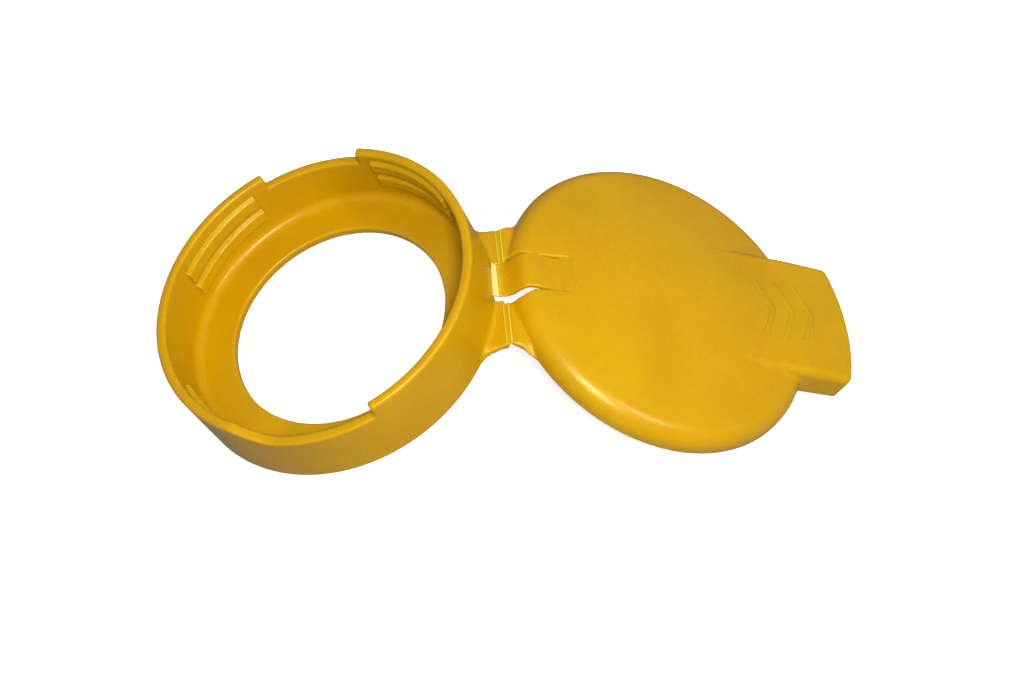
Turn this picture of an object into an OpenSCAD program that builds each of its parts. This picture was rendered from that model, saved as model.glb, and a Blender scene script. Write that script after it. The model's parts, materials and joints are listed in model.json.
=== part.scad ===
// Flip-top dust cover for an eyewash spray head.
// A threaded collar with a round outlet, a domed lid with a thumb tab, and a snap hinge
// between them: two film hinges on one line, and a bowed strap that pulls over centre.
// The collar is drawn with its outlet face on z = 0 and its threaded mouth up.
// The lid is drawn flat on z = 0, dome up, hinge line along Y at x = 0.
// Both are then folded and stood like a tent, on the collar's edge and the tab's end.

/* [Collar] */
// Outer radius of the collar
collar_r = 31; // [27:0.1:38]
// Thickness of the collar's wall
wall_t = 1.9; // [1.4:0.1:2.4]
// Height of the collar at its two low places
collar_h = 12.3; // [12.1:0.1:18]
// How much higher the rim stands elsewhere
crown_h = 2.8; // [1.6:0.2:4]
// Width of each low place, in degrees
dip_deg = 37; // [20:1:50]
// Thickness of the flange round the outlet
flange_t = 1.8; // [1.6:0.1:2]
// Width of the flange, from the outlet to the collar's outside
flange_w = 9.7; // [8:0.1:12]

/* [Thread] */
// Rise of the thread in one turn
thread_pitch = 4.25; // [3.6:0.05:4.6]
// Height of the thread's ridge off the wall
thread_depth = 0.8; // [0.5:0.1:1.2]
// Width of the ridge at its root
thread_w = 3; // [2.4:0.1:3.3]
// Length of each thread lug, in degrees
lug_deg = 40; // [25:1:60]

/* [Snap hinge] */
// Fold of the lid from lying flat, as it stands
lid_fold = 41.15; // [30:0.05:55]
// Thickness of the four hinge leaves
leaf_t = 1.3; // [1.1:0.1:1.6]
// Thickness of each film
film_t = 0.4; // [0.3:0.05:0.5]
// Width of each film, across the hinge line
film_w = 1.2; // [1:0.1:1.4]
// Half width of the strap
strap_half = 3.7; // [2.5:0.1:5]
// Thickness of the strap
strap_t = 1; // [0.7:0.1:1.1]
// Height of the strap's bow
strap_bow = 2.7; // [2.2:0.1:3]

/* [Lid] */
// How far the lid's rim stands out past the collar
lid_overhang = 0.6; // [0.3:0.1:1]
// Height of the dome's middle
dome_h = 7.75; // [7.2:0.05:8.4]
// Radius of the dome's curve
dome_r = 143; // [120:1:180]
// Radius of the shoulder round the dome
shoulder_r = 3; // [2.4:0.1:3.4]
// Thickness of the lid's shell
shell_t = 1.4; // [1.1:0.1:1.6]
// How far the plug ring enters the outlet
plug_reach = 1.6; // [1:0.1:1.6]

/* [Thumb tab] */
// Half width of the tab
tab_half = 13.7; // [10:0.1:15]
// Reach of the tab's end past the lid's rim
tab_reach = 8.9; // [6:0.1:12]
// Height of the tab's end
tab_h = 6; // [5.7:0.1:6.4]
// Height of the raised arrow on the tab
arrow_t = 0.4; // [0.3:0.1:0.6]

/* [Hidden] */
$fn = 240;
cut = 0.5;
yellow = [0.85, 0.6, 0.03];

// Collar
bore_r = collar_r - wall_t;
hole_r = collar_r - flange_w;
hole_chamfer = 0.5;
edge_r = 0.35;
corner_r = 1;
rim_h = collar_h + crown_h;
crown_round = wall_t / 2 - 0.35;
crown_deg = 90 - dip_deg / 2;
// The strap's pocket in the flange: how deep it goes at its head and at its foot
pocket_head = 0.6;
pocket_foot = 2.9;
dip_shift = 1;

// Thread: two turns, four lugs in each, with gaps on the axes
lug_count = 8;
thread_top = collar_h - 0.25;
thread_slope = atan(thread_pitch / (2 * PI * bore_r));
crest_w = thread_w - 1.2;
lug_root = 0.8;

// Hinge line: the place of the films on the collar, and the lid's middle from them
film_x = collar_r + 1.5;
film_z = 0.9;
lid_r = collar_r + lid_overhang;
hinge_land = 0.55;
lid_x = lid_r + hinge_land;
strap_clear = 0.7;
slot_half = strap_half + strap_clear;
web_half = 12.3;
web_flare = 1.9;
waist_share = 0.4;
film_crown = 0.12;

// Pivot: the one point about which the lid turns from its stand to shut on the flange
seat_gap = 0.1;
swing = 180 - lid_fold;
open_at = [film_x, film_z];
shut_at = [lid_x, -seat_gap];
travel = shut_at - open_at;
pivot = (open_at + shut_at) / 2 + [travel[1], -travel[0]] / (2 * tan(swing / 2));

// Dome: its middle on the lid's axis, and how far its parts stand over it
dome_z = dome_h - dome_r;
shoulder_step = 0.19;
strap_proud = 0.08;

// Strap: a bow from its pivot on the collar's wall to the end of the lid's slot
strap_at = [collar_r + 0.45, flange_t + 0.2];
slot_end = lid_r - hole_r + hinge_land + 0.45;
strap_end_z = dome_at(lid_x - slot_end) + strap_proud;
strap_to = folded([slot_end, strap_end_z]);
strap_run = norm(strap_to - strap_at);
strap_drop = atan2(strap_at[1] - strap_to[1], strap_to[0] - strap_at[0]);
strap_start = 0.6;
strap_gap = 1.75;
strap_stop = strap_run - strap_gap;
strap_inset = 0.2;
strap_thick_at = [0.8, 3];
bow_start = 1;
bow_top = 0.41 * strap_run;
bow_end = strap_run + 0.2;
strap_steps = 24;

// Lid
shoulder_in = lid_r - shoulder_r;
shoulder_z = dome_at(shoulder_in) + shoulder_step - shoulder_r;
plug_clear = 0.3;
plug_r = hole_r - plug_clear;
plug_t = 1.3;
bead_r = 0.5;
bead_out = 0.15;

// Tab: its top falls in a straight line from the dome to the end
tab_start = lid_x + 12;
tab_end_r = lid_r + tab_reach;
tab_end = lid_x + tab_end_r;
tab_top = dome_h - 0.5;
tab_fall = atan((tab_top - tab_h) / (tab_end - tab_start));
tab_lean = 1;
tab_wall = 1.6;
tab_edge = 0.5;
tab_lip = 0.6;
arrow_x = tab_start + 7.1;
arrow_step = 4.5;
arrow_half = 6.5;
arrow_bar = 1.6;
arrow_point = 3;

// Stand: tilt that brings the collar's edge and the tab's end to the table
foot_a = [edge_r - collar_r, 0];
foot_b = folded([tab_end, 0]);
tilt = atan2(foot_a[1] - foot_b[1], foot_b[0] - foot_a[0]);
far_left = tilted([crown_round - collar_r, rim_h - crown_round]) - [crown_round, 0];
far_right = tilted(folded([tab_end, tab_h - tab_edge]));
stand_x = -(far_left[0] + far_right[0]) / 2;
stand_z = -tilted(foot_b)[1];

LUGS = [for (i = [1:lug_count]) str("thread_lug_", i)];

// A point [x, z] of the lid, in the collar's own frame
function folded(p) = [
    film_x + p[0] * cos(lid_fold) + p[1] * sin(lid_fold),
    film_z - p[0] * sin(lid_fold) + p[1] * cos(lid_fold)
];

// A point [x, z] of the collar's frame, turned to stand on the table
function tilted(p) = [
    p[0] * cos(tilt) - p[1] * sin(tilt),
    p[0] * sin(tilt) + p[1] * cos(tilt)
];

// The dome's height at a distance r from its middle
function dome_at(r) = dome_z + sqrt(dome_r * dome_r - r * r);

// A rise from 0 to 1 that starts and ends level
function ease(t) = t <= 0 ? 0 : t >= 1 ? 1 : t * t * (3 - 2 * t);

// The strap's height over its chord, and its thickness, at a distance s from its pivot
function bow(s) = strap_bow * (s < bow_top
    ? ease((s - bow_start) / (bow_top - bow_start))
    : 1 - ease((s - bow_top) / (bow_end - bow_top)));
function strap_thick(s) = film_t + (strap_t - film_t)
    * ease((s - strap_thick_at[0]) / (strap_thick_at[1] - strap_thick_at[0]));

module on_table() {
    translate([stand_x, 0, stand_z])
        rotate([0, -tilt, 0])
            children();
}

module in_lid() {
    on_table()
        translate([film_x, 0, film_z])
            rotate([0, lid_fold, 0])
                children();
}

// A bar along Y from an outline in X and Z
module bar(from_y, to_y, outline) {
    translate([0, to_y, 0])
        rotate([90, 0, 0])
            linear_extrude(to_y - from_y)
                polygon(outline);
}

// ---- Collar ----

module shoulder_flange() {
    pocket = [
        [collar_r + cut, flange_t],
        [collar_r - pocket_head, flange_t],
        [collar_r - pocket_foot, -cut],
        [collar_r + cut, -cut]
    ];
    color(yellow)
        on_table()
            difference() {
                union() {
                    rotate_extrude()
                        polygon([
                            [hole_r, 0],
                            [collar_r - edge_r, 0],
                            [collar_r, edge_r],
                            [collar_r, flange_t],
                            [hole_r + hole_chamfer, flange_t],
                            [hole_r, flange_t - hole_chamfer]
                        ]);
                    rotate_extrude()
                        difference() {
                            translate([bore_r - corner_r, flange_t])
                                square([corner_r, corner_r]);
                            translate([bore_r - corner_r, flange_t + corner_r])
                                circle(r = corner_r);
                        }
                }
                bar(-slot_half, slot_half, pocket);
            }
}

module collar_skirt() {
    color(yellow)
        on_table()
            translate([0, 0, flange_t])
                difference() {
                    cylinder(r = collar_r, h = collar_h - flange_t);
                    translate([0, 0, -cut])
                        cylinder(r = bore_r, h = collar_h + cut);
                }
}

// A raised stretch of the rim, with a rounded top edge, from one angle to another
module rim_crown(from_deg, to_deg) {
    color(yellow)
        on_table()
            rotate([0, 0, from_deg])
                rotate_extrude(angle = to_deg - from_deg)
                    translate([bore_r, collar_h])
                        union() {
                            square([wall_t, crown_h - crown_round]);
                            translate([crown_round, 0])
                                square([wall_t - 2 * crown_round, crown_h]);
                            for (x = [crown_round, wall_t - crown_round])
                                translate([x, crown_h - crown_round])
                                    circle(r = crown_round);
                        }
}

// One lug of the thread; the thread falls as it goes round
module thread_lug(i) {
    flank = (thread_w - crest_w) / 2 / thread_depth;
    root_half = thread_w / 2 + flank * lug_root;
    ridge = [
        [bore_r + lug_root, -root_half],
        [bore_r - thread_depth, -crest_w / 2],
        [bore_r - thread_depth, crest_w / 2],
        [bore_r + lug_root, root_half]
    ];
    color(yellow)
        on_table()
            intersection() {
                rotate([0, 0, 45 + 90 * i])
                    translate([0, 0, thread_top - thread_pitch * i / 4])
                        rotate([-thread_slope, 0, 0])
                            rotate([0, 0, -lug_deg / 2])
                                rotate_extrude(angle = lug_deg)
                                    polygon(ridge);
                translate([0, 0, flange_t + corner_r])
                    cylinder(r = bore_r, h = rim_h - flange_t);
            }
}

// ---- Snap hinge ----

// Outline of a leaf, from the side of the slot to its flared foot
module leaf_outline(foot_x, edge_x) {
    polygon([
        [foot_x, slot_half],
        [edge_x, slot_half],
        [edge_x, web_half],
        [foot_x + (edge_x - foot_x) * waist_share, web_half + web_flare * waist_share],
        [foot_x, web_half + web_flare]
    ]);
}

module collar_leaf(side) {
    foot_x = sqrt(collar_r * collar_r - pow(web_half + web_flare, 2));
    color(yellow)
        on_table()
            difference() {
                mirror([0, side < 0 ? 1 : 0, 0])
                    linear_extrude(leaf_t)
                        leaf_outline(foot_x, film_x - film_w / 2);
                translate([0, 0, -cut])
                    cylinder(r = collar_r, h = leaf_t + 2 * cut);
            }
}

module lid_leaf(side) {
    foot_x = lid_x - sqrt(lid_r * lid_r - pow(web_half + web_flare, 2));
    color(yellow)
        in_lid()
            difference() {
                mirror([0, side < 0 ? 1 : 0, 0])
                    linear_extrude(leaf_t)
                        leaf_outline(foot_x, film_w / 2);
                translate([lid_x, 0, -cut])
                    cylinder(r = lid_r, h = leaf_t + 2 * cut);
            }
}

// A film between the edges of two leaves, waisted by its bend
module hinge_film(side) {
    a = [film_x - film_w / 2, film_z - film_t / 2];
    b = folded([film_w / 2, 0]);
    top_b = folded([film_w / 2, film_t]);
    outline = [
        a,
        (a + b) / 2 + [0, film_crown],
        b,
        top_b,
        (a + top_b + [0, film_t]) / 2 + [0, film_crown],
        a + [0, film_t]
    ];
    color(yellow)
        on_table()
            bar(side < 0 ? -web_half : slot_half, side < 0 ? -slot_half : web_half, outline);
}

// The place [x, z] of a point at s along the strap's chord and h over it
function strap_point(s, h) = [
    strap_at[0] + s * cos(strap_drop) + h * sin(strap_drop),
    strap_at[1] - s * sin(strap_drop) + h * cos(strap_drop)
];

module strap_film_collar() {
    outline = [
        [collar_r - 1, strap_at[1] - film_t / 2],
        [strap_at[0], strap_at[1] - film_t / 2],
        strap_point(strap_start, -film_t / 2),
        strap_point(strap_start, film_t / 2),
        [strap_at[0], strap_at[1] + film_t / 2],
        [collar_r - 1, strap_at[1] + film_t / 2]
    ];
    color(yellow)
        on_table()
            difference() {
                bar(-strap_half + strap_inset, strap_half - strap_inset, outline);
                cylinder(r = collar_r, h = rim_h);
            }
}

module snap_strap() {
    along = [for (i = [0:strap_steps]) strap_start + (strap_stop - strap_start) * i / strap_steps];
    top = [for (s = along) strap_point(s, bow(s) + film_t / 2)];
    under = [for (i = [strap_steps:-1:0]) let (s = along[i])
        strap_point(s, bow(s) + film_t / 2 - strap_thick(s))];
    color(yellow)
        on_table()
            bar(-strap_half, strap_half, concat(top, under));
}

module strap_film_lid() {
    s = strap_stop;
    mid = bow(s) + film_t / 2 - strap_t / 2;
    half = film_t * 0.6;
    outline = [
        strap_point(s, mid + half),
        folded([slot_end, strap_end_z - 2 * half]),
        folded([slot_end, strap_end_z - 4 * half]),
        strap_point(s, mid - half)
    ];
    color(yellow)
        on_table()
            bar(-strap_half + strap_inset, strap_half - strap_inset, outline);
}

// ---- Lid ----

// The slot in which the strap lies
module strap_slot() {
    translate([-cut, -slot_half, -plug_reach - 1])
        cube([slot_end + cut, 2 * slot_half, dome_h + plug_reach + 2]);
}

// The quarter round between the lid's side and its dome
module shoulder_section() {
    intersection() {
        translate([shoulder_in, shoulder_z])
            circle(r = shoulder_r);
        translate([shoulder_in, 0])
            square([shoulder_r, dome_h]);
    }
}

module lid_skirt() {
    color(yellow)
        in_lid()
            difference() {
                translate([lid_x, 0, 0])
                    rotate_extrude()
                        difference() {
                            union() {
                                translate([shoulder_in, 0])
                                    square([shoulder_r, shoulder_z]);
                                shoulder_section();
                            }
                            translate([shoulder_in - 1, -cut])
                                square([1 + shoulder_r - shell_t, shoulder_z + cut]);
                            translate([shoulder_in, shoulder_z])
                                circle(r = shoulder_r - shell_t);
                        }
                strap_slot();
            }
}

module lid_dome() {
    color(yellow)
        in_lid()
            difference() {
                translate([lid_x, 0, 0])
                    intersection() {
                        cylinder(r = shoulder_in, h = dome_h + 1);
                        difference() {
                            translate([0, 0, dome_z])
                                sphere(r = dome_r);
                            translate([0, 0, dome_z])
                                sphere(r = dome_r - shell_t);
                        }
                    }
                strap_slot();
            }
}

module plug_ring() {
    color(yellow)
        in_lid()
            translate([lid_x, 0, 0])
                intersection() {
                    translate([0, 0, -plug_reach])
                        difference() {
                            cylinder(r = plug_r, h = plug_reach + dome_h);
                            translate([0, 0, -cut])
                                cylinder(r = plug_r - plug_t, h = plug_reach + dome_h + 2 * cut);
                        }
                    translate([0, 0, dome_z])
                        sphere(r = dome_r - shell_t);
                }
}

module plug_bead() {
    color(yellow)
        in_lid()
            translate([lid_x, 0, bead_r - plug_reach])
                rotate_extrude()
                    intersection() {
                        translate([plug_r + bead_out - bead_r, 0])
                            circle(r = bead_r);
                        translate([plug_r, -bead_r])
                            square([bead_r, 2 * bead_r]);
                    }
}

// ---- Thumb tab ----

// Everything under the tab's sloping top, from low_z up, out to the curved end
module tab_block(half, low_z, lower_by, end_by) {
    intersection() {
        bar(-half, half, [
            [tab_start, low_z],
            [tab_end + 2, low_z],
            [tab_end + 2, tab_h - lower_by - 2 * tan(tab_fall)],
            [tab_start, tab_top - lower_by]
        ]);
        translate([lid_x, 0, low_z - cut])
            cylinder(r = tab_end_r - end_by, h = 2 * dome_h);
    }
}

// The outside of the lid, filled in
module lid_outside() {
    translate([lid_x, 0, 0]) {
        translate([0, 0, -cut])
            cylinder(r = lid_r, h = shoulder_z + cut);
        rotate_extrude()
            shoulder_section();
        intersection() {
            cylinder(r = shoulder_in, h = dome_h + 1);
            translate([0, 0, dome_z])
                sphere(r = dome_r);
        }
    }
}

module tab_top() {
    color(yellow)
        in_lid()
            difference() {
                tab_block(tab_half - tab_lean, tab_h - tab_wall, 0, tab_lip);
                lid_outside();
            }
}

module tab_side(side) {
    low = side < 0 ? -tab_half : tab_half - tab_wall;
    color(yellow)
        in_lid()
            difference() {
                intersection() {
                    tab_block(tab_half, 0, tab_edge, 0);
                    translate([tab_start, low, -cut])
                        cube([tab_end, tab_wall, dome_h + 1]);
                }
                tab_block(tab_half - tab_lean, tab_h - tab_wall, 0, tab_lip);
                lid_outside();
            }
}

module tab_end_wall() {
    color(yellow)
        in_lid()
            difference() {
                tab_block(tab_half - tab_wall, 0, tab_edge, 0);
                translate([lid_x, 0, -cut])
                    cylinder(r = tab_end_r - tab_wall, h = 2 * dome_h);
                tab_block(tab_half - tab_lean, tab_h - tab_wall, 0, tab_lip);
            }
}

module lift_arrow() {
    chevron = [
        [0, -arrow_half],
        [arrow_bar, -arrow_half],
        [arrow_bar + arrow_point, 0],
        [arrow_bar, arrow_half],
        [0, arrow_half],
        [arrow_point, 0]
    ];
    color(yellow)
        in_lid()
            translate([tab_start, 0, tab_top])
                rotate([0, tab_fall, 0])
                    for (i = [0:2])
                        translate([arrow_x - tab_start + i * arrow_step, 0, 0])
                            linear_extrude(arrow_t)
                                polygon(chevron);
}

shoulder_flange();
collar_skirt();
rim_crown(-crown_deg + dip_shift, crown_deg - dip_shift);  // rim_crown_hinge
rim_crown(180 - crown_deg, 180 + crown_deg);  // rim_crown_far
for (i = [0:lug_count - 1]) {
    thread_lug(i);
}
collar_leaf(-1);  // collar_leaf_near
collar_leaf(1);  // collar_leaf_far
hinge_film(-1);  // hinge_film_near
hinge_film(1);  // hinge_film_far
strap_film_collar();
snap_strap();
strap_film_lid();
lid_leaf(-1);  // lid_leaf_near
lid_leaf(1);  // lid_leaf_far
lid_skirt();
lid_dome();
plug_ring();
plug_bead();
tab_top();
tab_side(-1);  // tab_side_near
tab_side(1);  // tab_side_far
tab_end_wall();
lift_arrow();
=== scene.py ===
# %% [markdown]
# # A flip-top dust cover, moulded in one piece
# The real thing is a small lid for a spray head: a threaded collar, a domed lid with a
# thumb tab, and a snap hinge between them, all one shot of yellow polypropylene. It
# stands open like a tent. The first step loads the imported model, which fixes every
# size and place.

# %% Load the frame
import json
import math
from itertools import product

import bmesh
import bpy
import numpy as np
from mathutils import Matrix, Vector


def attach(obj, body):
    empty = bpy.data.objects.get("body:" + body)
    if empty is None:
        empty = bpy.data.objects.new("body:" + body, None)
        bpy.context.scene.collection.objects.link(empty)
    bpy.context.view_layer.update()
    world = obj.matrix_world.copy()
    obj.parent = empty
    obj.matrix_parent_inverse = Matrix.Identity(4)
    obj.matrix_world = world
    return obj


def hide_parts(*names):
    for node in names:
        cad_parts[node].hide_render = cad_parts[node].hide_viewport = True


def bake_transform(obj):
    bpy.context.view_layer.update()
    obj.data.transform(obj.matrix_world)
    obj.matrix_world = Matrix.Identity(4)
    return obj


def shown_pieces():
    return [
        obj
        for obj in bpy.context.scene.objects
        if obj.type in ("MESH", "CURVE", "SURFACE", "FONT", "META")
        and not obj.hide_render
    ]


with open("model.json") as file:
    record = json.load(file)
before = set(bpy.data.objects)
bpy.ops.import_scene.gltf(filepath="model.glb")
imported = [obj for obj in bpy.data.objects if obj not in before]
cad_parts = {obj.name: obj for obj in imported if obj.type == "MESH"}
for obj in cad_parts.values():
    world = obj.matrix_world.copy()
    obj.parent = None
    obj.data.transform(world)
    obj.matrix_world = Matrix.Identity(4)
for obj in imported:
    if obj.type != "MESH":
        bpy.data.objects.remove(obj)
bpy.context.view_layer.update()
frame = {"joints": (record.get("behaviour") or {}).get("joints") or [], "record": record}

# %% [markdown]
# ## Two sets of axes
# The collar stands at a lean and the lid folds down from it, so neither lies square to
# the table. Modelling them leaning would be hard to read. Each one is drawn flat in its
# own axes, in millimetres, and placed afterwards: the collar with its outlet face on
# z = 0 and its mouth up, the lid with its rim on z = 0 and its dome up. The lean comes
# from the axis of the mount that seats the spray head, the fold from the hinge's limit.

# %% Place the collar's and the lid's axes
MM = 0.001
FLANGE_T = 1.8
FILM_X, FILM_Z = 32.5, 0.9

mounts = {m["name"]: m for m in frame["record"]["mounts"]}
hinge = next(j for j in frame["joints"] if j["name"] == "lid_hinge")
seat = mounts["head_seat"]
LEAN = math.atan2(-seat["axis"][0], seat["axis"][2])
FOLD = math.radians(-hinge["range_deg"][0])
STAND_X = seat["pos_m"][0] / MM + FLANGE_T * math.sin(LEAN)
STAND_Z = seat["pos_m"][2] / MM - FLANGE_T * math.cos(LEAN)


def collar_to_row(p):
    """Points of the collar's own axes, in mm, to the shared frame, in metres."""
    x, y, z = np.asarray(p, float).T
    across = x * math.cos(LEAN) - z * math.sin(LEAN) + STAND_X
    up = x * math.sin(LEAN) + z * math.cos(LEAN) + STAND_Z
    return np.stack([across, y, up], 1) * MM


def lid_to_collar(p):
    """Points of the lid's own axes to the collar's, both in mm."""
    x, y, z = np.asarray(p, float).T
    across = FILM_X + x * math.cos(FOLD) + z * math.sin(FOLD)
    up = FILM_Z - x * math.sin(FOLD) + z * math.cos(FOLD)
    return np.stack([across, y, up], 1)


def lid_to_row(p):
    return collar_to_row(lid_to_collar(p))


print(f"collar leans {math.degrees(LEAN):.2f} deg, lid folds {math.degrees(FOLD):.2f} deg")

# %% [markdown]
# ## How a moulding gets its soft corners
# No corner of a plastic moulding is sharp: every edge is rounded by the tool and every
# inside corner is filled. Bevels on booleans break where three curved walls meet. Here
# a shape is a rule instead: a number for each point of space, below zero inside. Two
# small helpers keep what is inside both of two rules, or inside either, and round the
# corner between them to a radius. A skin is then stretched over the place where the
# number is zero: one vertex in each small cell that the surface crosses, one face
# across each edge that it crosses, and then every vertex is slid onto the surface.

# %% Rules with rounded corners
def both(a, b, r=0.0):
    """Inside a and b, with the edge between them rounded to radius r."""
    return np.minimum(-r, np.maximum(a, b)) + np.hypot(np.maximum(r + a, 0), np.maximum(r + b, 0))


def either(a, b, r=0.0):
    """Inside a or b, with the corner between them filled to radius r."""
    return np.maximum(r, np.minimum(a, b)) - np.hypot(np.maximum(r - a, 0), np.maximum(r - b, 0))


def ease(t):
    """A rise from 0 to 1 that starts and ends level."""
    t = np.clip(t, 0, 1)
    return t * t * (3 - 2 * t)


# %% A skin over a rule
def slide_on(shape, p, steps=4):
    """Moves points along the steepest way onto the surface of a rule."""
    tiny = 0.01
    for _ in range(steps):
        value = shape(*p.T)
        slope = np.stack([
            (shape(*(p + tiny * axis).T) - shape(*(p - tiny * axis).T)) / (2 * tiny)
            for axis in np.eye(3)
        ], 1)
        length = np.maximum((slope ** 2).sum(1), 0.05)
        p = p - np.clip(value / length, -0.3, 0.3)[:, None] * slope
    return p


def skin_over(shape, low, high, step):
    """Vertices and quads over the surface of a rule between two corners."""
    axes = [np.arange(a, b + step, step) for a, b in zip(low, high)]
    grid = shape(*np.meshgrid(*axes, indexing="ij"))
    n = np.array(grid.shape) - 1
    inside = grid < 0
    corner = list(product((0, 1), repeat=3))
    count = sum(inside[i:n[0] + i, j:n[1] + j, k:n[2] + k].astype(int) for i, j, k in corner)
    cells = np.argwhere((count > 0) & (count < 8))
    number = -np.ones(n, int)
    number[tuple(cells.T)] = np.arange(len(cells))
    total, hits = np.zeros((len(cells), 3)), np.zeros((len(cells), 1))
    for a, b in product(corner, repeat=2):
        if a < b and sum(np.abs(np.subtract(a, b))) == 1:
            fa, fb = grid[tuple((cells + a).T)], grid[tuple((cells + b).T)]
            crossed = (fa < 0) != (fb < 0)
            t = np.where(crossed, fa / np.where(crossed, fa - fb, 1), 0)[:, None]
            total += np.where(crossed[:, None], np.array(a) * (1 - t) + np.array(b) * t, 0)
            hits += crossed[:, None]
    points = np.array(low) + step * (cells + total / hits)
    quads = []
    for axis in range(3):
        u, v = (axis + 1) % 3, (axis + 2) % 3
        ahead = np.take(inside, range(1, n[axis] + 1), axis)
        here = np.take(inside, range(n[axis]), axis)
        for leaving in (True, False):
            at = np.argwhere((here != ahead) & (here == leaving))
            at = at[(at[:, u] > 0) & (at[:, v] > 0) & (at[:, u] < n[u]) & (at[:, v] < n[v])]
            ring = []
            for du, dv in ((-1, -1), (0, -1), (0, 0), (-1, 0)):
                cell = at.copy()
                cell[:, u] += du
                cell[:, v] += dv
                ring.append(number[tuple(cell.T)])
            quads.append(np.stack(ring if leaving else ring[::-1], 1))
    return points, np.concatenate(quads)


def relax(points, quads, rounds, shape):
    """Evens out the quads, keeping every vertex on the surface."""
    a, b = quads.ravel(), np.roll(quads, -1, 1).ravel()
    ends, others = np.concatenate([a, b]), np.concatenate([b, a])
    share = np.bincount(ends, minlength=len(points))[:, None]
    for _ in range(rounds):
        mean = np.stack([np.bincount(ends, points[others, i], len(points)) for i in range(3)], 1)
        points = slide_on(shape, points + 0.5 * (mean / share - points), 2)
    return points


def piece_from(name, points, faces):
    """A smooth-shaded object from points in metres and faces."""
    mesh = bpy.data.meshes.new(name)
    mesh.from_pydata(points.tolist(), [], faces.tolist() if hasattr(faces, "tolist") else faces)
    mesh.polygons.foreach_set("use_smooth", [True] * len(mesh.polygons))
    mesh.update()
    piece = bpy.data.objects.new(name, mesh)
    bpy.context.scene.collection.objects.link(piece)
    return piece


def moulded(name, shape, low, high, step, place):
    """A piece with the skin of a rule, placed in the shared frame."""
    points, quads = skin_over(shape, low, high, step)
    points = relax(slide_on(shape, points), quads, 3, shape)
    piece = piece_from(name, place(points), quads)
    print(f"{name}: {len(points)} vertices, {len(quads)} faces")
    return piece


# %% [markdown]
# ## The collar
# A ring wall with a flange round the outlet, two low places in its rim, and two flat
# leaves that carry the hinge. All of it is one rule: the outside first, then the leaves
# joined to it with a fillet, a pocket for the strap's film, the well taken out, the rim
# cut to height with its two low places, and the outlet last. The thread lugs follow as
# pieces of their own.

# %% Sizes of the collar
COLLAR_R, WALL_T = 31.0, 1.9
BORE_R = COLLAR_R - WALL_T
HOLE_R = 21.3
COLLAR_H, RIM_H = 12.3, 15.1
DIP_FROM, DIP_TO = math.radians(70.5), math.radians(108.5)
SOFT_RUN = 7.0  # the near end of the far crown rises over this length
POCKET_HEAD = 0.6  # depth of the strap's pocket at the top of the flange
LEAF_FILLET, WELL_FILLET, RIM_ROUND = 1.1, 1.8, 0.6
print(f"collar: {2 * COLLAR_R:.0f} mm across, {RIM_H} mm high, bore {2 * BORE_R:.1f} mm")

# %% Sizes of the hinge
NEAR_WEB, FAR_WEB = 13.8, 12.0  # how far the leaves reach out along the films
WEB_FLARE, COLLAR_FLARE = 1.9, 0.9  # how much wider the foot is, less on the collar's near leaf
WAIST = 0.4  # the flare's two slopes meet at this share of the leaf, from the foot
NEAR_SLOT, FAR_SLOT, COLLAR_SLOT = 4.9, 4.0, 4.15  # how near they come to the strap's middle
COLLAR_FOOT, LID_FOOT = 27.6, 3.9  # where the leaves end, in the collar's and the lid's x
LEAF_T, LID_LEAF_T, FILM_EDGE, FILM_T = 1.3, 0.75, 0.22, 0.4
GUSSET = 0.5  # slope of the leaves' bevels
print(f"hinge: films {FILM_T} mm thick, {2 * FILM_EDGE:.2f} mm between the leaves when flat")


def leaf(along, y, z, reach, thin, near_flare, near_slot):
    """A hinge leaf: along is the distance in from its film edge, reach its length, thin
    its thickness at the film. The flare and the slot are those of its near side."""
    v = np.abs(y)
    half = np.where(y < 0, NEAR_WEB, FAR_WEB)
    flare = np.where(y < 0, near_flare, WEB_FLARE)
    waist = half + along * flare * WAIST / ((1 - WAIST) * reach)
    foot = half + flare + (along - reach) * flare * (1 - WAIST) / (WAIST * reach)
    slot = np.where(y < 0, near_slot, FAR_SLOT)
    outline = both(np.minimum(v - waist, v - foot), slot - v, 0.3)
    plate = both(both(outline, -along, 0.15), -z, 0.1)
    side_bevel = (z - LEAF_T + GUSSET * (v - half)) / math.hypot(1, GUSSET)
    film_bevel = (z - thin - GUSSET * along) / math.hypot(1, GUSSET)
    plate = both(both(plate, side_bevel, 0.12), z - LEAF_T, 0.2)
    return both(plate, film_bevel, 0.2)


def collar_rule(x, y, z):
    rho, turn = np.hypot(x, y), np.arctan2(y, x)
    body = both(rho - COLLAR_R, -z, 0.35)
    edge = FILM_X - FILM_EDGE
    plate = leaf(edge - x, y, z, edge - COLLAR_FOOT, LEAF_T, COLLAR_FLARE, COLLAR_SLOT)
    plate = np.maximum(plate, COLLAR_FOOT - 2 - x)
    # The fillet would bulge below the outlet face, so it is cut level again.
    body = np.maximum(either(body, plate, LEAF_FILLET), -z)
    slant = (COLLAR_R - POCKET_HEAD - (FLANGE_T - z) - x) * math.sqrt(0.5)
    pocket = both(both(slant, z - FLANGE_T, 0.2), np.abs(y) - COLLAR_SLOT, 0.2)
    body = both(body, -pocket, 0.2)
    body = np.maximum(body, -both(rho - BORE_R, FLANGE_T - z, WELL_FILLET))
    body = both(body, z - RIM_H, RIM_ROUND)
    turned_by = np.abs(turn)
    starts = rho * np.sin(DIP_FROM - turned_by)
    slope = SOFT_RUN / (RIM_H - COLLAR_H)
    ramp = (rho * (turned_by - DIP_TO) - slope * (z - COLLAR_H)) / math.hypot(1, slope)
    stops = np.where(y < 0, ramp, rho * np.sin(turned_by - DIP_TO))
    low_place = both(np.maximum(starts, stops), COLLAR_H - z, 0.5)
    body = both(body, -low_place, 0.35)
    return both(body, HOLE_R - rho, 0.3)


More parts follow.
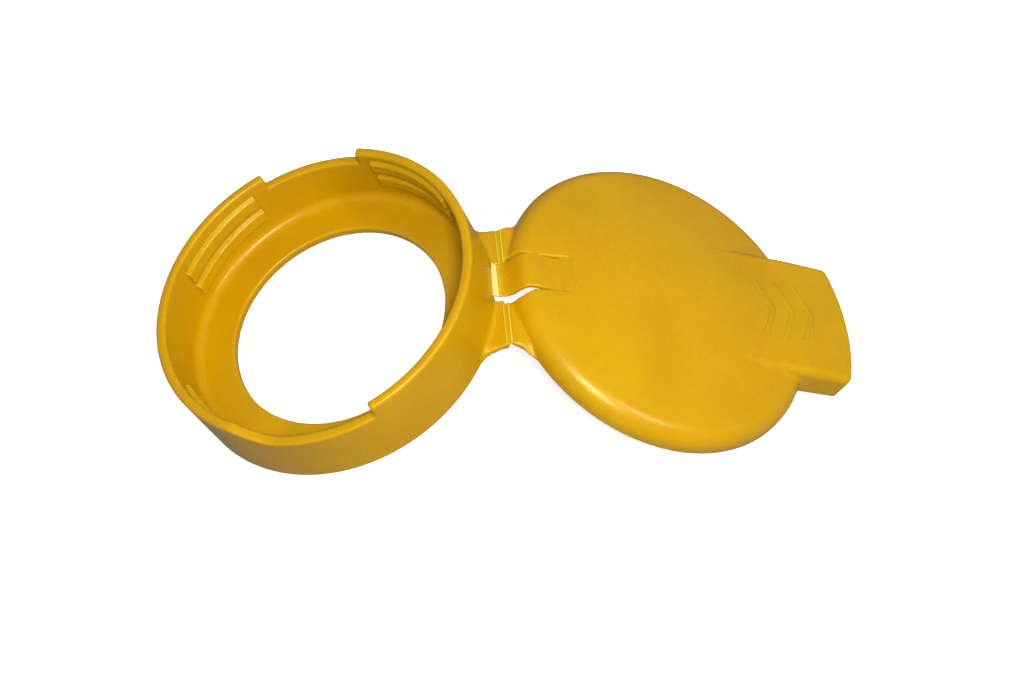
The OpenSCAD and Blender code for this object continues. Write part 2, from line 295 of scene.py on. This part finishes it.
# %% Build the collar
CELL, ROOM = 0.35, 0.6
low = (-COLLAR_R - ROOM, -COLLAR_R - ROOM, -ROOM)
high = (FILM_X + 0.5, COLLAR_R + ROOM, RIM_H + 0.7)
collar_shell = moulded("collar_shell", collar_rule, low, high, CELL, collar_to_row)
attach(collar_shell, "collar")
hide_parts("shoulder_flange", "collar_skirt", "rim_crown_hinge", "rim_crown_far",
            "collar_leaf_near", "collar_leaf_far")

# %% [markdown]
# ## The thread lugs
# Two turns of thread, broken into four lugs a turn so that the moulding can be pulled
# off its core. All eight are the same ridge, so one is skinned, finer than the collar
# because its corners are tighter, and copies are turned and dropped down the thread.

# %% Skin one lug and place eight
PITCH, RIDGE_H, RIDGE_W, CREST_W = 4.25, 0.8, 3.4, 2.3
LUGS, LUGS_A_TURN, LUG_DEG, FIRST_DEG = 8, 4, 40, 45
THREAD_TOP = COLLAR_H - 0.25
LUG_CELL, LUG_ROOT = 0.18, 0.35  # a lug's root is sunk this deep in the wall


def lug_rule(x, y, z):
    rho, s = np.hypot(x, y), BORE_R * np.arctan2(y, x)
    flank = (RIDGE_W - CREST_W) / 2 / RIDGE_H
    height = np.abs(z + s * PITCH / (2 * math.pi * BORE_R))
    side = (height - RIDGE_W / 2 + flank * (BORE_R - rho)) / math.hypot(1, flank)
    ridge = both(side, BORE_R - RIDGE_H - rho, 0.12)
    ridge = both(ridge, np.abs(s) - BORE_R * math.radians(LUG_DEG) / 2, 0.15)
    return np.maximum(ridge, rho - BORE_R - LUG_ROOT)


lug_points, lug_quads = skin_over(lug_rule, (25.5, -10.6, -2.2), (29.8, 10.6, 2.2), LUG_CELL)
lug_points = relax(slide_on(lug_rule, lug_points), lug_quads, 2, lug_rule)
for i in range(LUGS):
    angle = math.radians(FIRST_DEG + 360 / LUGS_A_TURN * i)
    c, s = math.cos(angle), math.sin(angle)
    lowered = [0, 0, THREAD_TOP - PITCH * i / LUGS_A_TURN]
    placed = lug_points @ np.array([[c, s, 0], [-s, c, 0], [0, 0, 1]]) + lowered
    lug = piece_from(f"thread_lug_{i + 1}_ridge", collar_to_row(placed), lug_quads)
    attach(lug, "collar")
    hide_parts(f"thread_lug_{i + 1}")
print(f"thread: {LUGS} lugs of {len(lug_quads)} faces")

# %% [markdown]
# ## The lid
# A shallow dome with a big soft shoulder, hollow underneath, and a thumb tab that
# leaves the dome in a straight slope. A slot for the strap is cut at the hinge side.
# The fillet between tab and dome grows along the tab, because two surfaces that part
# at a small angle would swell if it were wide from the start.

# %% Sizes of the lid
LID_R, LID_X = 31.6, 32.15
DOME_H, DOME_R, SHOULDER_R, SHELL_T = 7.75, 143.0, 3.0, 1.4
TAB_HALF, TAB_START, TAB_END_R, TAB_WALL = 13.7, LID_X + 12, 40.5, 1.6
TAB_TOP, TAB_H = DOME_H - 0.5, 6.0
TAB_FALL = (TAB_TOP - TAB_H) / (LID_X + TAB_END_R - TAB_START)
SLOT_END, STRAP_HALF = 11.3, 3.7
SLOT_FIT, SLOT_FLARE, FLARE_FROM, FLARE_RUN = 0.12, 1.25, 4.3, 2.6
TAB_ROUND, TAB_END_ROUND, TAB_FILLET, TAB_EASE, FILLET_RUN = 1.6, 0.8, 1.2, 22, 16
print(f"lid: {2 * LID_R:.1f} mm across, {DOME_H} mm high, tab {2 * TAB_HALF:.1f} mm wide")


def tab_surface(x, y):
    """Height of the tab's top, which leaves the dome slowly."""
    slope = TAB_TOP - TAB_FALL * (x - TAB_START)
    domed = DOME_H - ((x - LID_X) ** 2 + y ** 2) / (2 * DOME_R)
    return domed + np.maximum(slope - domed, 0) * ease((x - TAB_START + 4) / TAB_EASE)


def lid_rule(x, y, z):
    r = np.hypot(x - LID_X, y)
    dome = np.sqrt(r ** 2 + (z - DOME_H + DOME_R) ** 2) - DOME_R
    cap = both(r - LID_R, dome, SHOULDER_R)
    tab = both(z - tab_surface(x, y), np.abs(y) - TAB_HALF, TAB_ROUND)
    tab = both(tab, r - TAB_END_R, TAB_END_ROUND)
    tab = np.maximum(tab, LID_X + 8 - x)
    outside = either(cap, tab, TAB_FILLET * ease((x - TAB_START - 4) / FILLET_RUN))
    plate = leaf(x - FILM_EDGE, y, z, LID_FOOT - FILM_EDGE, LID_LEAF_T, WEB_FLARE, NEAR_SLOT)
    outside = either(outside, np.maximum(plate, x - LID_FOOT - 1), 0.5)
    hollow = np.minimum(cap + SHELL_T, np.maximum(tab + TAB_WALL, LID_R - r))
    body = both(np.maximum(outside, -hollow), -z, 0.3)
    flare = SLOT_FLARE * np.clip((FLARE_FROM - x) / FLARE_RUN, 0, 1)
    slot = both(x - SLOT_END, np.abs(y) - STRAP_HALF - SLOT_FIT - flare, 0.5)
    return both(body, -slot, 0.15)


# %% Build the lid
low = (-0.2, -LID_R - ROOM, -ROOM)
high = (LID_X + TAB_END_R + 0.65, LID_R + ROOM, DOME_H + 0.65)
lid_shell = moulded("lid_shell", lid_rule, low, high, CELL, lid_to_row)
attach(lid_shell, "lid")
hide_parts("lid_skirt", "lid_dome", "tab_top", "tab_side_near", "tab_side_far",
            "tab_end_wall", "lid_leaf_near", "lid_leaf_far")

# %% [markdown]
# ## The chevrons on the tab
# Three plain chevrons show which way the thumb lifts. They are cut shallow into the
# tool, so on the moulding they are thin ridges with round shoulders, a sixth of a
# millimetre high, and they catch the light only along one side.

# %% Raise the chevrons
ARROW_X, ARROW_STEP, ARROW_HALF, ARROW_POINT = TAB_START + 7.1, 4.5, 6.5, 3.0
ARROWS, ARROW_W, ARROW_RISE, ARROW_ROOT, ARROW_CELL = 3, 1.1, 0.16, 0.3, 0.16


def arrow_rule(x, y, z):
    v = np.abs(y)
    lean = ARROW_POINT / ARROW_HALF
    tip = ARROW_X + ARROW_POINT + ARROW_W / 2
    off_line = [np.abs(x - tip - i * ARROW_STEP + v * lean) for i in range(ARROWS)]
    across = np.minimum.reduce(off_line) / math.hypot(1, lean)
    height = z - tab_surface(x, y)
    line = both(across - ARROW_W / 2, v - ARROW_HALF, 0.2)
    return both(both(line, height - ARROW_RISE, 0.14), -height - ARROW_ROOT)


low = (ARROW_X - 1, -ARROW_HALF - 0.7, 4.5)
high = (ARROW_X + 2 * ARROW_STEP + ARROW_POINT + 2.5, ARROW_HALF + 0.7, 7.4)
lift_arrow = moulded("lift_arrow_relief", arrow_rule, low, high, ARROW_CELL, lid_to_row)
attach(lift_arrow, "lid")
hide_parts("lift_arrow")

# %% [markdown]
# ## The plug under the lid
# A thin ring drops from the dome and snaps into the outlet. It is round all the way, so
# it is turned: a short profile with a bead near its lip, spun about the lid's middle.

# %% Turn the plug ring
def turned(name, profile, middle, segments, place):
    """Spins a closed profile of (radius, z) points about a vertical line at x = middle."""
    form = bmesh.new()
    ring = [form.verts.new((r, 0, z)) for r, z in profile]
    for a, b in zip(ring, ring[1:] + ring[:1]):
        form.edges.new((a, b))
    bmesh.ops.spin(form, geom=form.verts[:] + form.edges[:], axis=(0, 0, 1), cent=(0, 0, 0),
                   angle=2 * math.pi, steps=segments, use_merge=True)
    bmesh.ops.remove_doubles(form, verts=form.verts, dist=1e-5)
    bmesh.ops.recalc_face_normals(form, faces=form.faces)
    bmesh.ops.translate(form, verts=form.verts, vec=(middle, 0, 0))
    mesh = bpy.data.meshes.new(name)
    form.to_mesh(mesh)
    form.free()
    placed = place([v.co for v in mesh.vertices])
    mesh.vertices.foreach_set("co", placed.ravel())
    mesh.polygons.foreach_set("use_smooth", [True] * len(mesh.polygons))
    mesh.update()
    piece = bpy.data.objects.new(name, mesh)
    bpy.context.scene.collection.objects.link(piece)
    print(f"{name}: {len(mesh.vertices)} vertices")
    return piece


PLUG_R, PLUG_T, PLUG_REACH, PLUG_ROOT, LIP_R = 21.0, 1.3, 1.6, 5.9, 0.35
BEAD_R, BEAD_OUT = 0.5, 0.15


def arc(x, z, r, start, stop, count):
    """Points of a round corner about (x, z), angles in degrees."""
    return [(x + r * math.cos(math.radians(a)), z + r * math.sin(math.radians(a)))
            for a in np.linspace(start, stop, count)]


inner = PLUG_R - PLUG_T
profile = (
    [(inner, PLUG_ROOT), (inner, 0.0)]
    + arc(inner + LIP_R, LIP_R - PLUG_REACH, LIP_R, 180, 270, 5)
    + arc(PLUG_R + BEAD_OUT - BEAD_R, BEAD_R - PLUG_REACH, BEAD_R, -90, 55, 9)
    + [(PLUG_R, 0.0), (PLUG_R, PLUG_ROOT)]
)
plug_ring = turned("plug_ring_turned", profile, LID_X, 180, lid_to_row)
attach(plug_ring, "lid")
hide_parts("plug_ring", "plug_bead")

# %% [markdown]
# ## The snap strap
# A bowed strip between collar and lid. It flips the lid past its middle. It is lofted:
# one rounded section at each of many stations along the bow, joined ring to ring.

# %% Loft a strip through sections
def lofted(name, rings, place):
    """Joins rings of as many points each, and closes both ends."""
    count = len(rings[0])
    points = np.concatenate(rings)
    faces = []
    for i in range(len(rings) - 1):
        for j in range(count):
            k = (j + 1) % count
            faces.append([i * count + j, i * count + k, (i + 1) * count + k, (i + 1) * count + j])
    faces.append(list(range(count))[::-1])
    faces.append([(len(rings) - 1) * count + j for j in range(count)])
    piece = piece_from(name, place(points), faces)
    form = bmesh.new()
    form.from_mesh(piece.data)
    bmesh.ops.recalc_face_normals(form, faces=form.faces)
    form.to_mesh(piece.data)
    form.free()
    print(f"{name}: {len(rings)} sections of {count} points")
    return piece


CORNER_POINTS = 5


def section(middle, up, y_from, y_to, thick, corner):
    """A rounded rectangle across the strip, at a point [x, z] with an up direction."""
    corner = min(corner, thick / 2.05, (y_to - y_from) / 2.05)
    out = []
    for cy, ch, start in ((y_to, 1, 0), (y_from, 1, 90), (y_from, -1, 180), (y_to, -1, 270)):
        for a in np.radians(np.linspace(start, start + 90, CORNER_POINTS)):
            side = 1 if cy == y_to else -1
            y = cy - side * corner + corner * math.cos(a)
            h = ch * (thick / 2 - corner) + corner * math.sin(a)
            out.append((middle[0] + up[0] * h, y, middle[1] + up[1] * h))
    return np.array(out)


# %% The bow of the strap
STRAP_AT = np.array([COLLAR_R + 0.45, FLANGE_T + 0.2])
STRAP_T, STRAP_BOW, BOW_TOP = 1.0, 2.75, 0.41
THICK_FROM, THICK_RUN, PINCH, PINCH_RUN = 0.8, 2.2, 0.25, 0.4
strap_to = lid_to_collar([[SLOT_END, 0, 6.05]])[0][[0, 2]]
RUN = float(np.hypot(*(strap_to - STRAP_AT)))
ALONG = (strap_to - STRAP_AT) / RUN
ACROSS = np.array([-ALONG[1], ALONG[0]])
STRAP_FROM, STRAP_STOP = 0.6, RUN - 1.75


def bow(s):
    """How far the strap stands off the straight line between its ends, s mm along it."""
    top = BOW_TOP * RUN
    rising, falling = ease((s - 1) / (top - 1)), 1 - ease((s - top) / (STRAP_STOP - top))
    return STRAP_BOW * np.where(s < top, rising, falling)


def strap_line(s):
    """The strap's middle line, its upward direction and its thickness at s."""
    thick = FILM_T + (STRAP_T - FILM_T) * ease((s - THICK_FROM) / THICK_RUN)
    tiny = 0.02
    rise = float(bow(s + tiny) - bow(s - tiny)) / (2 * tiny)
    up = (ACROSS - rise * ALONG) / math.hypot(1, rise)
    return STRAP_AT + s * ALONG + (float(bow(s)) + FILM_T / 2 - thick / 2) * ACROSS, up, thick


stations = np.linspace(STRAP_FROM, STRAP_STOP, 44)
rings = []
for s in stations:
    middle, up, thick = strap_line(float(s))
    near_end = min(s - STRAP_FROM, STRAP_STOP - s)
    pinch = PINCH * (1 - ease(near_end / PINCH_RUN))
    rings.append(section(middle, up, -STRAP_HALF + pinch, STRAP_HALF - pinch, thick * (1 - pinch), 0.3))
snap_strap = lofted("snap_strap_bowed", rings, collar_to_row)
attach(snap_strap, "strap")
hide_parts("snap_strap")

# %% [markdown]
# ## The films
# Where the plastic bends it is only a film. The two hinge films join the leaves, and a
# short film holds each end of the strap. Each film starts and ends a little inside its
# neighbours, so that no gap opens. The hinge films and the one at the collar curve
# between the bodies they join and are attached to neither. The one at the lid is attached to the lid.

# %% Join the leaves with the two hinge films
def film(name, path, thick, y_from, y_to, place):
    """A thin strip along a path of [x, z] points."""
    path = np.array(path, float)
    ahead = np.gradient(path, axis=0)
    ahead /= np.linalg.norm(ahead, axis=1)[:, None]
    ups = np.stack([-ahead[:, 1], ahead[:, 0]], 1)
    rings = [section(p, up, y_from, y_to, t, 0.12) for p, up, t in zip(path, ups, thick)]
    return lofted(name, rings, place)


# Each end is two points: one sunk in the leaf, and one where the film leaves it.
lid_end = lid_to_collar([[1.1, 0, 0.42], [0.34, 0, 0.46]])[:, [0, 2]]
a, b = np.array([FILM_X - 1.1, FILM_Z]), np.array([FILM_X - 0.36, FILM_Z + 0.04])
crest = np.array([0, 0.08])
t = np.linspace(0, 1, 17)[1:-1, None]
bridge = (1 - t) * b + t * lid_end[1] + crest * np.sin(np.pi * t)
film_path = np.concatenate([[a, b], bridge, lid_end[::-1]])
across = np.linspace(-1, 1, len(film_path))
# A small ridge runs along each edge of the film.
RIDGE_EXTRA, RIDGE_AT, RIDGE_SPREAD = 0.62, 0.72, 0.16
film_thick = FILM_T + RIDGE_EXTRA * np.exp(-((np.abs(across) - RIDGE_AT) / RIDGE_SPREAD) ** 2)
INSET = 0.1
film_spans = {
    "near": (-NEAR_WEB + INSET, -NEAR_SLOT - INSET),
    "far": (FAR_SLOT + INSET, FAR_WEB - INSET),
}
for side, (y_from, y_to) in film_spans.items():
    strip = film(f"hinge_film_{side}_bend", film_path, film_thick, y_from, y_to, collar_to_row)
    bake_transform(strip)
    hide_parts(f"hinge_film_{side}")

# %% Hold the strap's end at the collar
# The film starts a little up the collar's wall, turns round the knee and ends inside the strap.
CLIMB = 1.1
knee = STRAP_AT + [-0.15, -0.2]
first = strap_line(STRAP_FROM + 0.25)[0]
bend_at = np.linspace(0, 1, 14)[:, None]
climb = np.array([COLLAR_R - 0.1, STRAP_AT[1] + CLIMB])
path = (1 - bend_at) ** 2 * climb + 2 * bend_at * (1 - bend_at) * knee + bend_at ** 2 * first
film_thick = np.linspace(0.7, FILM_T, len(path))
y_to = STRAP_HALF - INSET
strip = film("strap_film_collar_bend", path, film_thick, -y_to, y_to, collar_to_row)
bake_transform(strip)
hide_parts("strap_film_collar")

# %% Hold the strap's end at the lid
TONGUE_T, SUNK = 0.5, 0.03
lift = float(bow(STRAP_STOP)) + FILM_T / 2 - TONGUE_T / 2 - SUNK
end_top = STRAP_AT + STRAP_STOP * ALONG + lift * ACROSS
hidden = strap_line(STRAP_STOP - 0.9)[0]
dome_at_slot = DOME_H - (LID_X - SLOT_END) ** 2 / (2 * DOME_R) - TONGUE_T / 2
wall = lid_to_collar(
    [[SLOT_END + 0.5, 0, dome_at_slot - 2 * SUNK], [SLOT_END, 0, dome_at_slot - SUNK]]
)[:, [0, 2]]
across_gap = [(1 - k) * wall[1] + k * end_top for k in (0.25, 0.5, 0.75, 1)]
path = [wall[0], wall[1], *across_gap, hidden]
y_to = STRAP_HALF + 0.2
strip = film("strap_film_lid_tongue", path, [TONGUE_T] * len(path), -y_to, y_to, collar_to_row)
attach(strip, "lid")
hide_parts("strap_film_lid")

# %% [markdown]
# ## Yellow polypropylene
# The plastic is a warm opaque yellow with a fine matt grain where the tool was
# textured, and smoother, glossier lugs and films. Every finish is built from the same
# nodes: a slow noise for patches of colour, a fine one for the grain, paler edges found by
# how sharply the surface bends, which are rubbing and, on the films, a painted highlight, and the fine
# noise again in roughness and bump.

# %% Mix the finishes
def moulded_finish(name, colours, rough, grain, edge_wear_and_sheen=0.25):
    """A polypropylene finish. The colours are linear: the light one, the deep one of its
    patches, and the pale one of its sharpest edges. Grain is the bump in mm, and edge_wear_and_sheen
    is how far those edges go to the pale colour, as rubbing and, on the films, a painted highlight."""
    light, deep, worn_and_sheen = colours
    finish = bpy.data.materials.new(name)
    finish.use_nodes = True
    nodes, links = finish.node_tree.nodes, finish.node_tree.links
    shader = nodes["Principled BSDF"]
    place = nodes.new("ShaderNodeTexCoord")
    scale = nodes.new("ShaderNodeMapping")
    scale.inputs["Scale"].default_value = (1 / MM,) * 3
    links.new(place.outputs["Object"], scale.inputs["Vector"])

    def noise(size, detail, roughness=0.5):
        node = nodes.new("ShaderNodeTexNoise")
        node.inputs["Scale"].default_value = 1 / size
        node.inputs["Detail"].default_value = detail
        node.inputs["Roughness"].default_value = roughness
        links.new(scale.outputs["Vector"], node.inputs["Vector"])
        return node.outputs["Fac"]

    def ramp(value, low, high, to_low, to_high):
        node = nodes.new("ShaderNodeMapRange")
        sockets = {"From Min": low, "From Max": high, "To Min": to_low, "To Max": to_high}
        for key, number in sockets.items():
            node.inputs[key].default_value = number
        links.new(value, node.inputs["Value"])
        return node.outputs["Result"]

    def blend(share, a, b):
        node = nodes.new("ShaderNodeMix")
        node.data_type = "RGBA"
        links.new(share, node.inputs["Factor"])
        # Sockets 6 and 7 are the node's two colours.
        for socket, colour in ((node.inputs[6], a), (node.inputs[7], b)):
            if isinstance(colour, tuple):
                socket.default_value = (*colour, 1)
            else:
                links.new(colour, socket)
        return node.outputs[2]

    patches, speckle = noise(14, 3), noise(0.3, 3, 0.6)
    colour = blend(ramp(patches, 0.3, 0.7, 0, 1), light, deep)
    colour = blend(ramp(speckle, 0.35, 0.75, 0, 0.35), colour, tuple(0.8 * c for c in deep))
    bend = nodes.new("ShaderNodeNewGeometry").outputs["Pointiness"]
    # Pale sharpest edges: rubbing, and on the films also a painted highlight along their ridges.
    colour = blend(ramp(bend, 0.53, 0.62, 0, edge_wear_and_sheen), colour, worn_and_sheen)
    links.new(colour, shader.inputs["Base Color"])
    gloss = ramp(speckle, 0.3, 0.7, rough - 0.06, rough + 0.06)
    links.new(gloss, shader.inputs["Roughness"])
    bump = nodes.new("ShaderNodeBump")
    bump.inputs["Strength"].default_value = 1
    bump.inputs["Distance"].default_value = grain * MM
    links.new(speckle, bump.inputs["Height"])
    links.new(bump.outputs["Normal"], shader.inputs["Normal"])
    shader.inputs["IOR"].default_value = 1.49
    shader.inputs["Specular IOR Level"].default_value = 0.5
    shader.inputs["Specular Tint"].default_value = (1, 0.95, 0.5, 1)
    shader.inputs["Subsurface Weight"].default_value = 0.3
    shader.inputs["Subsurface Radius"].default_value = (1.0, 0.35, 0.02)
    shader.inputs["Subsurface Scale"].default_value = 0.0022
    return finish


wall_colours = (0.64, 0.355, 0.0), (0.58, 0.305, 0.0), (0.72, 0.43, 0.02)
lug_colours = (0.66, 0.38, 0.0), (0.60, 0.33, 0.0), (0.74, 0.46, 0.02)
# The films' third colour is their pale edges: rubbing, and a painted highlight along their ridges.
film_colours = (0.70, 0.43, 0.0), (0.64, 0.38, 0.0), (0.90, 0.72, 0.14)
# Pale colours for a painted highlight on the strap film's sharpest bend.
highlight_colours = (0.95, 0.84, 0.36), (0.93, 0.78, 0.28), (0.97, 0.88, 0.45)
yellow = moulded_finish("moulded_plastic", wall_colours, rough=0.3, grain=0.035)
lug_yellow = moulded_finish("lug_plastic", lug_colours, rough=0.22, grain=0.06)
# Its high share paints the films' ridges pale, as a painted highlight.
film_yellow = moulded_finish("film_plastic", film_colours, rough=0.18, grain=0.01, edge_wear_and_sheen=0.9)
# This finish paints that highlight into the colour of the bend.
highlight_finish = moulded_finish("film_painted_highlight", highlight_colours, rough=0.25, grain=0.01)
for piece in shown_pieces():
    name = piece.name
    matt = not name.startswith(("hinge_film", "strap_film_collar", "thread_lug"))
    piece.data.materials.clear()
    piece.data.materials.append(yellow if matt else lug_yellow if "lug" in name else film_yellow)

# The first part of the strap's film, round its sharpest bend, is painted pale: a painted highlight on
# the bend.
HIGHLIGHT_SPANS = 8
faces_a_span = 4 * CORNER_POINTS
bend_piece = bpy.data.objects["strap_film_collar_bend"]
bend_piece.data.materials.append(highlight_finish)
for face in bend_piece.data.polygons:
    if face.index // faces_a_span < HIGHLIGHT_SPANS:
        face.material_index = 1
print("finishes:", ", ".join(m.name for m in bpy.data.materials))

# %% [markdown]
# ## The table, the lights and the camera
# A pale floor that runs out of view and a pale sky fill the shadows. A small soft light
# above the near side gives the dome's shoulder its gloss, and a smaller one from the
# right shapes the inside of the collar.

# %% Lay the floor
floor_mesh = bpy.data.meshes.new("floor")
reach = 3.0
corners = [(-reach, -reach, 0), (reach, -reach, 0), (reach, reach, 0), (-reach, reach, 0)]
floor_mesh.from_pydata(corners, [], [(0, 1, 2, 3)])
floor = bpy.data.objects.new("floor", floor_mesh)
bpy.context.scene.collection.objects.link(floor)
pale = bpy.data.materials.new("pale_floor")
pale.use_nodes = True
pale_shader = pale.node_tree.nodes["Principled BSDF"]
pale_shader.inputs["Base Color"].default_value = (0.92, 0.92, 0.92, 1)
pale_shader.inputs["Roughness"].default_value = 0.9
pale_shader.inputs["Specular IOR Level"].default_value = 0.1
floor_mesh.materials.append(pale)
print(f"floor: {2 * reach:.0f} m square at z = 0")

# The camera sees the floor white; the cover sees it as a duller table, which keeps the
# insides of the mouldings deep in colour.
TABLE_GREY, WHITE_LIFT = 0.26, 0.7
nodes, links = pale.node_tree.nodes, pale.node_tree.links
table_top = nodes.new("ShaderNodeBsdfDiffuse")
table_top.inputs["Color"].default_value = (TABLE_GREY, TABLE_GREY, TABLE_GREY, 1)
bright = nodes.new("ShaderNodeEmission")
bright.inputs["Strength"].default_value = WHITE_LIFT
lifted = nodes.new("ShaderNodeAddShader")
chosen = nodes.new("ShaderNodeMixShader")
ray = nodes.new("ShaderNodeLightPath")
links.new(pale_shader.outputs[0], lifted.inputs[0])
links.new(bright.outputs[0], lifted.inputs[1])
links.new(ray.outputs["Is Camera Ray"], chosen.inputs[0])
links.new(table_top.outputs[0], chosen.inputs[1])
links.new(lifted.outputs[0], chosen.inputs[2])
links.new(chosen.outputs[0], nodes["Material Output"].inputs["Surface"])

# %% Hang the lights
def soft_light(name, place, target, size, power):
    """A square soft light at a place, facing a target. Metres and watts."""
    lamp = bpy.data.lights.new(name, "AREA")
    lamp.size = size
    lamp.energy = power
    holder = bpy.data.objects.new(name, lamp)
    holder.location = place
    holder.rotation_euler = (Vector(target) - Vector(place)).to_track_quat("-Z", "Y").to_euler()
    bpy.context.scene.collection.objects.link(holder)


soft_light("over", (-0.02, -0.19, 0.33), (-0.03, 0, 0.02), size=0.07, power=1.15)
soft_light("side", (0.24, -0.15, 0.38), (-0.04, 0, 0.02), size=0.04, power=0.6)
world = bpy.data.worlds.new("sky")
world.use_nodes = True
world.node_tree.nodes["Background"].inputs["Color"].default_value = (1, 1, 1, 1)
world.node_tree.nodes["Background"].inputs["Strength"].default_value = 0.32
bpy.context.scene.world = world
bpy.context.scene.view_settings.view_transform = "Standard"
print("lights:", ", ".join(lamp.name for lamp in bpy.data.lights))

# %% Set up the camera
camera = bpy.data.objects.new("camera", bpy.data.cameras.new("camera"))
camera.data.lens = 55.39
camera.data.sensor_width = 36
camera.data.clip_start = 0.01
right = Vector((0.9930, -0.0927, 0.0735))
up = Vector((0.0366, 0.8317, 0.5541))
ahead = Vector((0.1125, 0.5475, -0.8292))
turn = Matrix((right, up, -ahead)).transposed().to_4x4()
camera.matrix_world = Matrix.Translation(Vector((-0.03462, -0.16825, 0.25980))) @ turn
bpy.context.scene.collection.objects.link(camera)
bpy.context.scene.camera = camera
print(f"camera: {camera.data.lens} mm lens")
